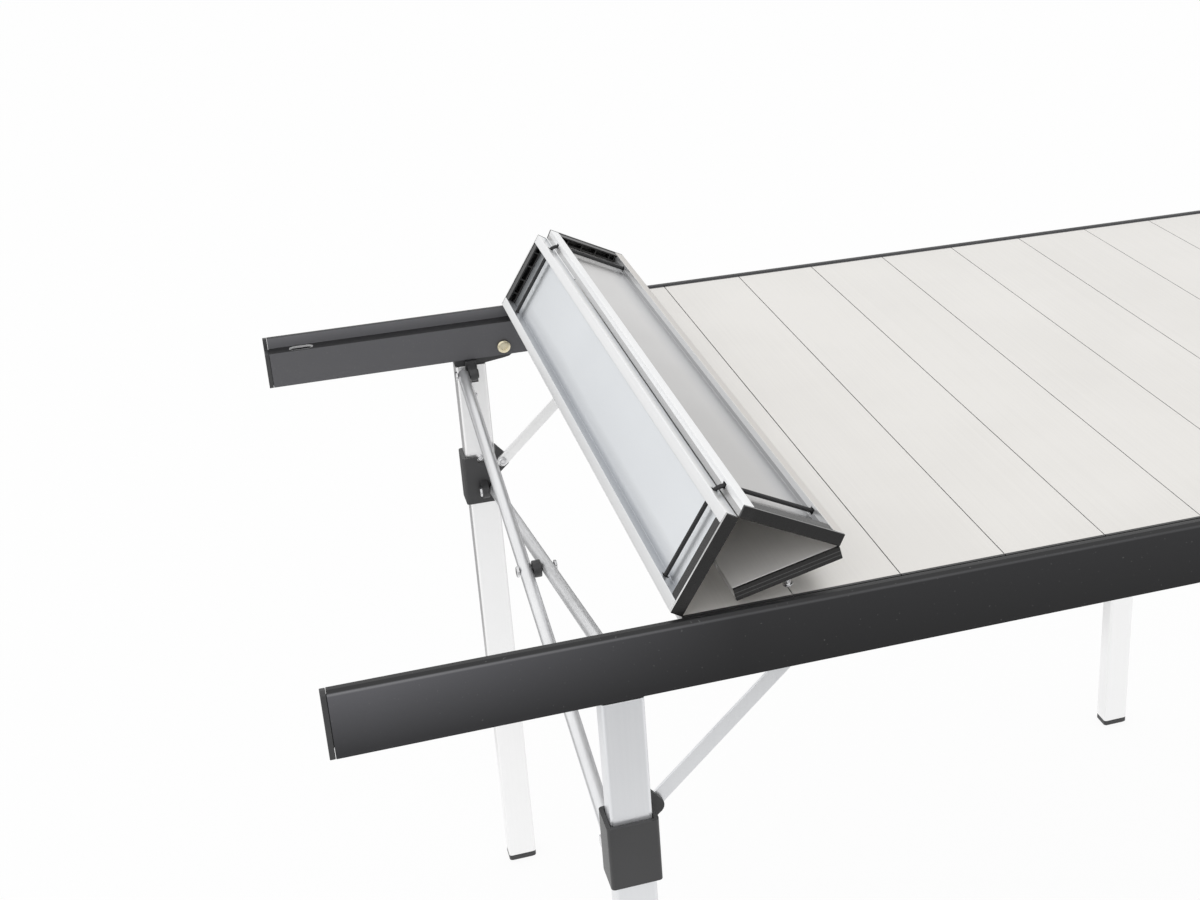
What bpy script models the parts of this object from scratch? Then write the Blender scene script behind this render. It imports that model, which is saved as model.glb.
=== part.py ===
"""Roll-top camping table: two rails on four folding legs, and a deck of hinged aluminium slats.

Metres, +Z up. X runs along the rails, Y from the near rail to the far one, and the origin is
on the ground under the middle of the table. The table stands open, with the first three slats
of its left end rolled up on the fourth.
"""

from math import asin, atan2, cos, degrees, hypot, pi, radians, sin

import bmesh
import bpy
from mathutils import Matrix, Vector

# Whole table
TABLE_WIDTH = 0.700
TABLE_HEIGHT = 0.700
SEAT_GAP = 0.0003

# Deck slats, extruded aluminium with a hollow flange along each edge
SLAT_COUNT = 14
SLAT_PITCH = 0.0846
SLAT_THICKNESS = 0.010
SLAT_JOINT_GAP = 0.0008
SLAT_WALL = 0.0014
SLAT_FLANGE = 0.009
SLAT_END_CLEARANCE = 0.0025
SLAT_CAP = 0.0025
CAP_RIB = 0.0016
CAP_WEB = 0.0015
CAP_WEB_LENGTH = 0.011
CAP_FLOOR = 0.0016
CAP_FLOOR_RECESS = 0.0005
CAP_RIB_STEP = 0.016
CORD_INSET = 0.045
CORD_HOLE_WIDTH = 0.007
CORD_HOLE_HEIGHT = 0.0045

# The roll: slats 3, 2 and 1 stand folded up on slat 4
ROLLED_SLATS = 3
THIRD_SLAT_TILT = radians(57.5)
SECOND_SLAT_TILT = radians(-26.6)
ROLL_REST_GAP = 0.0047

# Locating pins under both end slats, and the slots in the ledges that take them
PIN_RADIUS = 0.0025
PIN_BASE_RADIUS = 0.003
PIN_HEAD_RADIUS = 0.004
PIN_HEAD = 0.002
PIN_LENGTH = 0.018
PIN_INSET = 0.041
PIN_FROM_SLAT_END = 0.006
SLOT_LENGTH = 0.024
SLOT_WIDTH = 0.011
SLOT_INSET = 0.0365
SLOT_SHIFT = 0.001

# Rails, an extrusion open underneath, with a rim outside and a ledge inside
RAIL_HEIGHT = 0.054
RAIL_WIDTH = 0.023
RAIL_WALL = 0.0022
RAIL_INNER_HEIGHT = 0.048
RAIL_CHAMFER = 0.0025
RIM_WIDTH = 0.007
RIM_RISE = 0.001
RAIL_CAP = 0.004
RAIL_CAP_PLUG = 0.012

# Legs, rectangular tubes that fold inward about a bolt beside their heads
LEG_LENGTHWISE = 0.032
LEG_WALL = 0.0015
LEG_CORNER = 0.003
LEG_INSETS = {"left": 0.205, "right": 0.1795}
LEG_TOP_GAP = 0.001
FOOT_FLANGE = 0.008
FOOT_CHAMFER = 0.002
PLUG_LENGTH = 0.030
PLUG_CLEARANCE = 0.0002
HINGE_DROP = 0.038
HINGE_OFFSETS = {"left": 0.0365, "right": 0.0845}
HINGE_BOSS = 0.014
BOLT_RADIUS = 0.004
BOLT_HEAD_RADIUS = 0.0065
BOLT_HEAD = 0.0025
HEAD_TOP_DROP = 0.024
SADDLE_HALF = 0.006
SADDLE_THICKNESS = 0.0037
SADDLE_LENGTH = 0.018

# Collars that slide on the legs
COLLAR_BELOW_LEG_TOP = 0.105
COLLAR_HEIGHT = 0.055
COLLAR_WALL = 0.0035
COLLAR_GAP = 0.0004
COLLAR_CORNER = 0.003
NOTCH_HALF = 0.004
NOTCH_DEPTH = 0.007
EAR_OFFSET = 0.0225
EAR_BELOW_COLLAR_TOP = 0.008
EAR_RADIUS = 0.008
EAR_RISE = 0.020

# Crossed rods between the near and far legs
ROD_RADIUS = 0.006
ROD_PLANE = 0.010
ROD_TIP = 0.0005
UPPER_PIVOT_BELOW_LEG_TOP = 0.005
LOWER_PIVOT_BELOW_COLLAR_TOP = 0.038
PIVOT_STANDOFF = 0.012
PIVOT_RADIUS = 0.003
PIVOT_HEAD_RADIUS = 0.005
PIVOT_HEAD = 0.002
LUG_RADIUS = 0.007
SPACER_RADIUS = 0.008

# Flat braces from the collars' ears to studs on the rails
BRACE_WIDTH = 0.012
BRACE_THICKNESS = 0.0025
BRACE_END = 0.008
HOOK_ANGLE = radians(-115)
STUD_OFFSET = 0.1635
STUD_RADIUS = 0.0025
STUD_HEAD_RADIUS = 0.0045
STUD_HEAD = 0.0015
STUD_WASHER_RADIUS = 0.005

# Sizes that follow from those above
TABLE_LENGTH = SLAT_COUNT * SLAT_PITCH
SLAT_TOP = TABLE_HEIGHT - RIM_RISE
SLAT_LENGTH = TABLE_WIDTH - 2 * (RIM_WIDTH + SLAT_END_CLEARANCE)
SLAT_METAL = SLAT_LENGTH - 2 * SLAT_CAP
LEDGE_DROP = RIM_RISE + SLAT_THICKNESS + SEAT_GAP
LEG_TOP_DROP = RAIL_HEIGHT + LEG_TOP_GAP
COLLAR_DROP = LEG_TOP_DROP + COLLAR_BELOW_LEG_TOP
EAR_DROP = COLLAR_DROP + EAR_BELOW_COLLAR_TOP
UPPER_PIVOT_DROP = LEG_TOP_DROP + UPPER_PIVOT_BELOW_LEG_TOP
LOWER_PIVOT_DROP = COLLAR_DROP + LOWER_PIVOT_BELOW_COLLAR_TOP
PIVOT_DEPTH = RAIL_WIDTH + PIVOT_STANDOFF
LUG_HALF = ROD_PLANE - ROD_RADIUS - SEAT_GAP
COLLAR_FACE = RAIL_WIDTH + COLLAR_GAP + COLLAR_WALL
BRACE_DEPTH = COLLAR_FACE + SEAT_GAP
ROUND_STEPS = 16

BLACK = (0.035, 0.035, 0.037)
SILVER = (0.66, 0.67, 0.69)
CHAMPAGNE = (0.75, 0.74, 0.71)
BRASS = (0.70, 0.55, 0.25)

ENDS = {"left": -1, "right": 1}
SIDES = {"near": -1, "far": 1}


def clear_scene():
    for old in list(bpy.data.objects):
        bpy.data.objects.remove(old)


def finish(piece, colour, roughness, metallic):
    """Give a piece its own plain material."""
    material = bpy.data.materials.new(piece.name + "_finish")
    material.use_nodes = True
    shader = material.node_tree.nodes["Principled BSDF"]
    shader.inputs["Base Color"].default_value = (*colour, 1)
    shader.inputs["Roughness"].default_value = roughness
    shader.inputs["Metallic"].default_value = metallic
    piece.data.materials.clear()
    piece.data.materials.append(material)


def black_plastic(piece):
    finish(piece, BLACK, 0.55, 0.0)


def silver_metal(piece):
    finish(piece, SILVER, 0.35, 1.0)


def axis_empty(name, parent, place, tilt=0.0):
    """An empty on a joint's axis, at a place in the table's frame, turned by tilt about Y."""
    empty = bpy.data.objects.new(name + "_axis", None)
    bpy.context.collection.objects.link(empty)
    empty.parent = parent
    world = Matrix.Translation(place) @ Matrix.Rotation(tilt, 4, "Y")
    empty["world"] = [value for row in world for value in row]
    above = world_of(parent)
    empty.matrix_local = above.inverted() @ world
    return empty


def world_of(empty):
    """The place of an empty in the table's frame, kept when it was made."""
    if empty is None:
        return Matrix.Identity(4)
    values = list(empty["world"])
    return Matrix([values[row * 4:row * 4 + 4] for row in range(4)])


def hang(piece, empty):
    """Parent a piece, modelled in the table's frame, to the empty on its axis."""
    piece.data.transform(world_of(empty).inverted())
    piece.parent = empty
    return piece


def object_from(name, bm):
    """Close up a bmesh into a named object with its faces pointing out."""
    bmesh.ops.recalc_face_normals(bm, faces=bm.faces)
    mesh = bpy.data.meshes.new(name)
    bm.to_mesh(mesh)
    bm.free()
    piece = bpy.data.objects.new(name, mesh)
    bpy.context.collection.objects.link(piece)
    return piece


def loft(name, rings):
    """A closed solid through rings of equally many points."""
    bm = bmesh.new()
    loops = [[bm.verts.new(point) for point in ring] for ring in rings]
    for lower, upper in zip(loops, loops[1:]):
        for i in range(len(lower)):
            j = (i + 1) % len(lower)
            bm.faces.new((lower[i], lower[j], upper[j], upper[i]))
    bm.faces.new(loops[0])
    bm.faces.new(loops[-1])
    return object_from(name, bm)


def prism(name, outline, to_table, start, end):
    """Extrude an outline of (u, v) points from w = start to w = end."""
    rings = [[to_table(u, v, w) for u, v in outline] for w in (start, end)]
    return loft(name, rings)


def combine(body, tool, operation):
    """Join or cut a body with a tool, which is used up."""
    boolean = body.modifiers.new(operation, "BOOLEAN")
    boolean.operation = operation
    boolean.solver = "EXACT"
    boolean.object = tool
    depsgraph = bpy.context.evaluated_depsgraph_get()
    mesh = bpy.data.meshes.new_from_object(body.evaluated_get(depsgraph))
    body.modifiers.clear()
    body.data = mesh
    bpy.data.objects.remove(tool)
    return body


def join(body, *tools):
    for tool in tools:
        combine(body, tool, "UNION")
    return body


def cut(body, *tools):
    for tool in tools:
        combine(body, tool, "DIFFERENCE")
    return body


def rectangle(u0, u1, v0, v1):
    return [(u0, v0), (u1, v0), (u1, v1), (u0, v1)]


def arc(u, v, radius, start, end, steps):
    """Points on an arc, its angles in degrees."""
    angles = [radians(start + (end - start) * i / steps) for i in range(steps + 1)]
    return [(u + radius * cos(angle), v + radius * sin(angle)) for angle in angles]


def circle(u, v, radius, steps=ROUND_STEPS):
    return arc(u, v, radius, 0, 360, steps)[:-1]


def rounded_rectangle(u0, u1, v0, v1, radius, steps=3):
    outline = []
    corners = ((u1, v1, 0), (u0, v1, 90), (u0, v0, 180), (u1, v0, 270))
    for u, v, angle in corners:
        centre_u = u - radius if u == u1 else u + radius
        centre_v = v - radius if v == v1 else v + radius
        outline += arc(centre_u, centre_v, radius, angle, angle + 90, steps)
    return outline


def slot_outline(u, v, length, width):
    """A slot with round ends, its length along u."""
    reach = (length - width) / 2
    right = arc(u + reach, v, width / 2, -90, 90, 6)
    left = arc(u - reach, v, width / 2, 90, 270, 6)
    return right + left


def revolve(name, profile, to_table):
    """Turn a profile of (along, radius) points about its own axis."""
    rings = []
    for along, radius in profile:
        rings.append([to_table(u, v, along) for u, v in circle(0, 0, radius)])
    return loft(name, rings)


def rail_frame(side):
    """Depth in from a rail's outer face and drop from its rim, run along X."""
    def to_table(depth, drop, x):
        return Vector((x, SIDES[side] * (TABLE_WIDTH / 2 - depth), TABLE_HEIGHT - drop))
    return to_table


def leg_point(end, side, inward, depth, drop):
    """A place near a leg: inward of its middle, in from the rail's face, below the rim."""
    x = ENDS[end] * (TABLE_LENGTH / 2 - LEG_INSETS[end] - inward)
    return rail_frame(side)(depth, drop, x)


def leg_frames(end, side):
    """Three ways to extrude near a leg: up and down, across the table, and along it."""
    def downward(inward, depth, drop):
        return leg_point(end, side, inward, depth, drop)

    def across(inward, drop, depth):
        return leg_point(end, side, inward, depth, drop)

    def along(depth, drop, inward):
        return leg_point(end, side, inward, depth, drop)

    return downward, across, along


# Rails

def rail_outline():
    """The extrusion: rim, ledge and two walls round a channel that is open underneath."""
    ledge_under = LEDGE_DROP + RAIL_WALL
    return [
        (0, RAIL_CHAMFER), (RAIL_CHAMFER, 0), (RIM_WIDTH, 0), (RIM_WIDTH, LEDGE_DROP),
        (RAIL_WIDTH, LEDGE_DROP), (RAIL_WIDTH, RAIL_INNER_HEIGHT),
        (RAIL_WIDTH - RAIL_WALL, RAIL_INNER_HEIGHT), (RAIL_WIDTH - RAIL_WALL, ledge_under),
        (RIM_WIDTH - RAIL_WALL, ledge_under), (RIM_WIDTH - RAIL_WALL, RAIL_WALL),
        (RAIL_WALL, RAIL_WALL), (RAIL_WALL, RAIL_HEIGHT), (0, RAIL_HEIGHT),
    ]


def brace_stud(side, end):
    """The stud on a rail's inner wall that a brace hooks over."""
    across = leg_frames(end, side)[1]
    wall = RAIL_WIDTH - RAIL_WALL / 2
    tip = BRACE_DEPTH + BRACE_THICKNESS + SEAT_GAP
    washer = BRACE_DEPTH - SEAT_GAP
    profile = [
        (wall, STUD_WASHER_RADIUS), (washer, STUD_WASHER_RADIUS), (washer, STUD_RADIUS),
        (tip, STUD_RADIUS), (tip, STUD_HEAD_RADIUS), (tip + STUD_HEAD, STUD_HEAD_RADIUS),
    ]
    return revolve("stud", profile, lambda u, v, depth: across(
        STUD_OFFSET + u, HINGE_DROP + v, depth))


def rail(side):
    """A rail with its two pin slots, two hinge bolt holes and two brace studs."""
    to_table = rail_frame(side)
    half = TABLE_LENGTH / 2 - RAIL_CAP - SEAT_GAP
    body = prism(side + "_rail", rail_outline(), to_table, -half, half)
    for end in ENDS:
        middle = ENDS[end] * (TABLE_LENGTH / 2 - SLOT_INSET)
        depth = RIM_WIDTH + SLAT_END_CLEARANCE + PIN_FROM_SLAT_END - SLOT_SHIFT
        slot = prism("slot", slot_outline(middle, depth, SLOT_LENGTH, SLOT_WIDTH),
                     lambda x, d, drop: to_table(d, drop, x),
                     LEDGE_DROP - RAIL_WALL, LEDGE_DROP + 2 * RAIL_WALL)
        across = leg_frames(end, side)[1]
        hole = prism("hole", circle(HINGE_OFFSETS[end], HINGE_DROP, BOLT_RADIUS + SEAT_GAP), across,
                     RAIL_WIDTH - 2 * RAIL_WALL, RAIL_WIDTH + RAIL_WALL)
        cut(body, slot, hole)
        join(body, brace_stud(side, end))
    finish(body, BLACK, 0.45, 0.6)
    return body


def rail_cap(side, end):
    """The moulded cap that closes a rail's end, with a plug in its channel."""
    to_table = rail_frame(side)
    outline = [
        (0, RAIL_CHAMFER), (RAIL_CHAMFER, 0), (RIM_WIDTH, 0), (RIM_WIDTH, LEDGE_DROP),
        (RAIL_WIDTH, LEDGE_DROP), (RAIL_WIDTH, RAIL_INNER_HEIGHT), (0, RAIL_HEIGHT),
    ]
    inner = RAIL_WALL + SEAT_GAP
    plug_top = LEDGE_DROP + RAIL_WALL + SEAT_GAP
    plug = rectangle(inner, RAIL_WIDTH - inner, plug_top, RAIL_INNER_HEIGHT - RAIL_WALL)
    outer = ENDS[end] * TABLE_LENGTH / 2
    seat = ENDS[end] * (TABLE_LENGTH / 2 - RAIL_CAP)
    tip = ENDS[end] * (TABLE_LENGTH / 2 - RAIL_CAP - RAIL_CAP_PLUG)
    body = prism(f"{side}_rail_{end}_cap", outline, to_table, outer, seat)
    join(body, prism("plug", plug, to_table, seat + ENDS[end] * RAIL_CAP / 2, tip))
    black_plastic(body)
    return body


def hinge_bolt(side, end):
    """The bolt that a leg folds about: through the inner wall and the leg's head."""
    across = leg_frames(end, side)[1]
    profile = [
        (RAIL_WALL + SEAT_GAP, BOLT_RADIUS), (RAIL_WIDTH + SEAT_GAP, BOLT_RADIUS),
        (RAIL_WIDTH + SEAT_GAP, BOLT_HEAD_RADIUS),
        (RAIL_WIDTH + SEAT_GAP + BOLT_HEAD, BOLT_HEAD_RADIUS * 0.85),
    ]
    body = revolve(f"{side}_{end}_hinge_bolt", profile, lambda u, v, depth: across(
        HINGE_OFFSETS[end] + u, HINGE_DROP + v, depth))
    finish(body, BRASS, 0.35, 1.0)
    return body


# Legs

def leg(side, end):
    """A leg's rectangular tube, open at both ends."""
    downward = leg_frames(end, side)[0]
    half = LEG_LENGTHWISE / 2
    bottom = TABLE_HEIGHT - FOOT_FLANGE - SEAT_GAP
    outer = rounded_rectangle(-half, half, 0, RAIL_WIDTH, LEG_CORNER)
    inner = rectangle(LEG_WALL - half, half - LEG_WALL, LEG_WALL, RAIL_WIDTH - LEG_WALL)
    body = prism(f"{side}_{end}_leg", outer, downward, LEG_TOP_DROP, bottom)
    cut(body, prism("bore", inner, downward, LEG_TOP_DROP - LEG_WALL, bottom + LEG_WALL))
    silver_metal(body)
    return body


def tube_plug(end, side, start, stop):
    """The part of a moulding that sits inside a leg's tube."""
    downward = leg_frames(end, side)[0]
    inset = LEG_WALL + PLUG_CLEARANCE
    half = LEG_LENGTHWISE / 2 - inset
    return prism("plug", rectangle(-half, half, inset, RAIL_WIDTH - inset), downward, start, stop)


def foot(side, end):
    """A plastic foot plugged into the bottom of a leg."""
    downward = leg_frames(end, side)[0]
    half = LEG_LENGTHWISE / 2
    sole = rounded_rectangle(FOOT_CHAMFER - half, half - FOOT_CHAMFER,
                             FOOT_CHAMFER, RAIL_WIDTH - FOOT_CHAMFER, LEG_CORNER)
    edge = rounded_rectangle(-half, half, 0, RAIL_WIDTH, LEG_CORNER)
    top = TABLE_HEIGHT - FOOT_FLANGE
    levels = ((sole, TABLE_HEIGHT), (edge, TABLE_HEIGHT - FOOT_CHAMFER), (edge, top))
    body = loft(f"{side}_{end}_foot",
                [[downward(u, v, drop) for u, v in outline] for outline, drop in levels])
    join(body, tube_plug(end, side, top + FOOT_CHAMFER, top - PLUG_LENGTH))
    black_plastic(body)
    return body


def pivot_lug(end, side, root_depth, drop, rod_way):
    """A lug with the pin that a rod's end turns on; rod_way says on which side the rod lies."""
    along = leg_frames(end, side)[2]
    tip = arc(PIVOT_DEPTH, drop, LUG_RADIUS, 90, -90, 8)
    root = [(root_depth, drop - 1.5 * LUG_RADIUS), (root_depth, drop + 1.5 * LUG_RADIUS)]
    lug = prism("lug", root + tip, along, -LUG_HALF, LUG_HALF)
    outside = ROD_PLANE + ROD_RADIUS + SEAT_GAP
    profile = [
        (-LUG_HALF - PIVOT_HEAD, PIVOT_HEAD_RADIUS), (-LUG_HALF + PIVOT_HEAD, PIVOT_HEAD_RADIUS),
        (-LUG_HALF + PIVOT_HEAD, PIVOT_RADIUS), (outside, PIVOT_RADIUS),
        (outside, PIVOT_HEAD_RADIUS), (outside + PIVOT_HEAD, PIVOT_HEAD_RADIUS),
    ]
    pin = revolve("pin", profile, lambda u, v, inward: along(
        PIVOT_DEPTH + u, drop + v, rod_way * inward))
    return join(lug, pin)


def leg_head(side, end):
    """The moulding on a leg's top: a plug, an arm to the hinge bolt and a lug for a rod."""
    downward, across = leg_frames(end, side)[:2]
    half = LEG_LENGTHWISE / 2
    offset = HINGE_OFFSETS[end]
    seat = LEG_TOP_DROP - SEAT_GAP
    bridge = RAIL_INNER_HEIGHT + 2 * SEAT_GAP
    inner = RAIL_WALL + SEAT_GAP
    boss = arc(offset, HINGE_DROP, HINGE_BOSS, -90, 90, 8)
    outline = [(-half, seat), (-half, HEAD_TOP_DROP + HINGE_BOSS / 2),
               (HINGE_BOSS / 2 - half, HEAD_TOP_DROP)] + boss + [(half, seat)]
    body = prism(f"{side}_{end}_leg_head", outline, across, inner, RAIL_WIDTH - inner)
    saddle_face = RAIL_WIDTH + SEAT_GAP + SADDLE_THICKNESS
    shelf = prism("shelf", rectangle(-SADDLE_HALF, SADDLE_HALF, inner, saddle_face),
                  downward, bridge, seat)
    saddle = prism("saddle", rectangle(-SADDLE_HALF, SADDLE_HALF, RAIL_WIDTH + SEAT_GAP, saddle_face),
                   downward, bridge, seat + SADDLE_LENGTH)
    rod_way = 1 if side == "near" else -1
    lug = pivot_lug(end, side, saddle_face - SADDLE_THICKNESS / 2, UPPER_PIVOT_DROP, rod_way)
    join(body, tube_plug(end, side, seat - SEAT_GAP, seat + PLUG_LENGTH), shelf, saddle, lug)
    cut(body, prism("hole", circle(offset, HINGE_DROP, BOLT_RADIUS + SEAT_GAP), across,
                    0, RAIL_WIDTH))
    black_plastic(body)
    return body


def collar(side, end):
    """The moulded sleeve that slides on a leg, with an ear for its brace and a lug for a rod."""
    downward, across = leg_frames(end, side)[:2]
    half = LEG_LENGTHWISE / 2 + COLLAR_GAP
    outside = half + COLLAR_WALL
    bottom = COLLAR_DROP + COLLAR_HEIGHT
    outer = rounded_rectangle(-outside, outside, -COLLAR_GAP - COLLAR_WALL, COLLAR_FACE, COLLAR_CORNER)
    inner = rectangle(-half, half, -COLLAR_GAP, RAIL_WIDTH + COLLAR_GAP)
    body = prism(f"{side}_{end}_collar", outer, downward, COLLAR_DROP, bottom)
    shoulder = (EAR_OFFSET + half) / 2
    ear = [(half, EAR_DROP - EAR_RISE), (half, EAR_DROP + 2 * EAR_RADIUS)]
    ear += arc(EAR_OFFSET, EAR_DROP, EAR_RADIUS, 60, -30, 6)
    ear += [(EAR_OFFSET + EAR_RADIUS / 4, EAR_DROP - EAR_RISE * 0.5), (shoulder, EAR_DROP - EAR_RISE * 0.8)]
    plate = prism("ear", ear, across, COLLAR_FACE - COLLAR_WALL, COLLAR_FACE)
    brace_face = BRACE_DEPTH + BRACE_THICKNESS + SEAT_GAP
    profile = [
        (COLLAR_FACE - COLLAR_WALL / 2, STUD_RADIUS), (brace_face, STUD_RADIUS),
        (brace_face, STUD_HEAD_RADIUS), (brace_face + STUD_HEAD, STUD_HEAD_RADIUS),
    ]
    rivet = revolve("rivet", profile, lambda u, v, depth: across(
        EAR_OFFSET + u, EAR_DROP + v, depth))
    rod_way = -1 if side == "near" else 1
    lug = pivot_lug(end, side, COLLAR_FACE - COLLAR_WALL / 2, LOWER_PIVOT_DROP, rod_way)
    notch = prism("notch", rectangle(-NOTCH_HALF, NOTCH_HALF, RAIL_WIDTH, COLLAR_FACE + COLLAR_WALL),
                  downward, COLLAR_DROP - NOTCH_DEPTH, COLLAR_DROP + NOTCH_DEPTH)
    join(body, plate, rivet, lug)
    cut(body, prism("bore", inner, downward, COLLAR_DROP - LEG_WALL, bottom + LEG_WALL), notch)
    black_plastic(body)
    return body


# Crossed rods

def rod_sections(length):
    """A round bar, as (along, radius) sections, that runs a little past its pivots to domed tips."""
    tip = [(-ROD_TIP - ROD_RADIUS * sin(radians(angle)), ROD_RADIUS * cos(radians(angle)))
           for angle in (75, 50, 25, 0)]
    return tip + [(length - along, radius) for along, radius in reversed(tip)]


def rod_ends(end, upper_side, inward):
    lower_side = "far" if upper_side == "near" else "near"
    upper = leg_point(end, upper_side, inward, PIVOT_DEPTH, UPPER_PIVOT_DROP)
    lower = leg_point(end, lower_side, inward, PIVOT_DEPTH, LOWER_PIVOT_DROP)
    return upper, lower


def rod(name, end, upper_side, inward):
    """A rod from the head on one side to the collar on the other."""
    upper, lower = rod_ends(end, upper_side, inward)
    run = (lower - upper).normalized()
    inner_way = Vector((-ENDS[end], 0, 0))
    across = run.cross(inner_way)
    length = (lower - upper).length

    def to_table(along, sideways, thick):
        return upper + run * along + across * sideways + inner_way * thick

    body = revolve(name, rod_sections(length), lambda u, v, along: to_table(along, u, v))
    for along in (0, length / 2, length):
        hole = prism("hole", circle(0, 0, PIVOT_RADIUS + SEAT_GAP),
                     lambda u, v, w: to_table(along + u, v, w), -2 * ROD_RADIUS, 2 * ROD_RADIUS)
        cut(body, hole)
    silver_metal(body)
    return body


def scissor_pin(end):
    """The pin through both rods where they cross, with a spacer between them."""
    middle = sum(rod_ends(end, "near", 0), Vector()) / 2
    outside = ROD_PLANE + ROD_RADIUS + SEAT_GAP
    spacer = ROD_PLANE - ROD_RADIUS - SEAT_GAP
    half = [(outside + PIVOT_HEAD, PIVOT_HEAD_RADIUS), (outside, PIVOT_HEAD_RADIUS),
            (outside, PIVOT_RADIUS), (spacer, PIVOT_RADIUS), (spacer, SPACER_RADIUS)]
    profile = half + [(-along, radius) for along, radius in reversed(half)]
    body = revolve(end + "_scissor_pin", profile, lambda u, v, x: middle + Vector((x, u, v)))
    black_plastic(body)
    return body


# Braces

def brace(side, end):
    """A flat bar, riveted to a collar's ear and hooked over a rail's stud."""
    across = leg_frames(end, side)[1]
    run = Vector((STUD_OFFSET - EAR_OFFSET, HINGE_DROP - EAR_DROP))
    length = run.length
    run.normalize()

    def to_table(along, sideways, depth):
        inward = EAR_OFFSET + run.x * along - run.y * sideways
        drop = EAR_DROP + run.y * along + run.x * sideways
        return across(inward, drop, depth)

    half = BRACE_WIDTH / 2
    outline = arc(length + BRACE_END - half, 0, half, -90, 90, 6) + arc(0, 0, half, 90, 270, 6)
    face = BRACE_DEPTH + BRACE_THICKNESS
    body = prism(f"{side}_{end}_brace", outline, to_table, BRACE_DEPTH, face)
    through = (BRACE_DEPTH - BRACE_THICKNESS, face + BRACE_THICKNESS)
    hole = prism("hole", circle(0, 0, STUD_RADIUS + SEAT_GAP), to_table, *through)
    way = Vector((cos(HOOK_ANGLE), sin(HOOK_ANGLE))) * BRACE_WIDTH
    turn = degrees(HOOK_ANGLE)
    hook = arc(length, 0, STUD_RADIUS + SEAT_GAP, turn + 90, turn + 270, 8)
    mouth = [hook[-1], hook[0]]
    hook += [(along + way.x, sideways + way.y) for along, sideways in mouth]
    cut(body, hole, prism("hook", hook, to_table, *through))
    silver_metal(body)
    return body


# Slats

def slat_section(start, stop):
    return rectangle(start, stop, -SLAT_THICKNESS, 0)


def slat_shape(name, start, stop, length):
    """A slat lying flat, its top at z = 0: a plate with a hollow flange along each edge."""
    def lengthwise(x, z, y):
        return Vector((x, y, z))

    inner = (start + SLAT_FLANGE, stop - SLAT_FLANGE)
    outline = [(start, 0), (start, -SLAT_THICKNESS), (inner[0], -SLAT_THICKNESS),
               (inner[0], -SLAT_WALL), (inner[1], -SLAT_WALL), (inner[1], -SLAT_THICKNESS),
               (stop, -SLAT_THICKNESS), (stop, 0)]
    body = prism(name, outline, lengthwise, -length / 2, length / 2)
    reach = SLAT_METAL / 2 + SLAT_WALL
    if length > SLAT_METAL:
        reach = SLAT_METAL / 2
    for edge in (start, stop - SLAT_FLANGE):
        hollow = rectangle(edge + SLAT_WALL, edge + SLAT_FLANGE - SLAT_WALL,
                           SLAT_WALL - SLAT_THICKNESS, -SLAT_WALL)
        cut(body, prism("hollow", hollow, lengthwise, -reach, reach))
        for way in (-1, 1):
            middle = way * (SLAT_LENGTH / 2 - CORD_INSET)
            centre = -SLAT_THICKNESS / 2 - SEAT_GAP
            hole = rectangle(edge - SLAT_WALL, edge + SLAT_FLANGE + SLAT_WALL,
                             centre - CORD_HOLE_HEIGHT / 2, centre + CORD_HOLE_HEIGHT / 2)
            cut(body, prism("hole", hole, lengthwise, middle - CORD_HOLE_WIDTH / 2,
                            middle + CORD_HOLE_WIDTH / 2))
    return body


def capped_slat(name, start, stop):
    """A slat with its two end plates in place."""
    body = slat_shape(name, start, stop, SLAT_METAL)
    for way in (-1, 1):
        seat = way * (SLAT_METAL / 2 - SEAT_GAP)
        plate = prism("plate", slat_section(start, stop), lambda x, z, y: Vector((x, y, z)),
                      seat, way * SLAT_LENGTH / 2)
        join(body, plate)
    finish(body, CHAMPAGNE, 0.5, 0.7)
    return body


def bare_slat(name, start, stop):
    """A slat whose end caps are pieces of their own."""
    body = slat_shape(name, start, stop, SLAT_METAL - 2 * SEAT_GAP)
    finish(body, CHAMPAGNE, 0.5, 0.7)
    return body


def slat_cap(name, start, stop, way, has_pin):
    """The moulded cap on a slat's end: a plate, and a web, ribs and a floor between the flanges."""
    def lengthwise(x, z, y):
        return Vector((x, way * y, z))

    seat = SLAT_METAL / 2
    tip = seat - CAP_WEB_LENGTH
    body = prism(name, slat_section(start, stop), lengthwise, seat, SLAT_LENGTH / 2)
    top = -SLAT_WALL - SEAT_GAP
    floor = CAP_FLOOR_RECESS - SLAT_THICKNESS
    pin_x = start - SLAT_JOINT_GAP / 2 + PIN_INSET
    inner = (start + SLAT_FLANGE + SEAT_GAP, stop - SLAT_FLANGE - SEAT_GAP)
    pieces = [
        prism("web", rectangle(*inner, top - CAP_WEB, top), lengthwise, tip, seat + SLAT_CAP / 2),
        prism("floor", rectangle(*inner, floor, floor + CAP_FLOOR), lengthwise, tip, seat + SLAT_CAP / 2),
    ]
    for step in (-1.5, -0.5, 0.5, 1.5):
        place = pin_x + step * CAP_RIB_STEP
        rib = rectangle(place - CAP_RIB / 2, place + CAP_RIB / 2, floor + CAP_FLOOR / 2, top - CAP_WEB / 2)
        pieces.append(prism("rib", rib, lengthwise, tip + CAP_RIB / 2, seat + SLAT_CAP / 2))
    join(body, *pieces)
    if has_pin:
        hole = circle(pin_x, SLAT_LENGTH / 2 - PIN_FROM_SLAT_END, PIN_BASE_RADIUS + SEAT_GAP)
        cut(body, prism("hole", hole, lambda x, y, z: Vector((x, way * y, z)), -SLAT_THICKNESS, 0))
    black_plastic(body)
    return body


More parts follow.
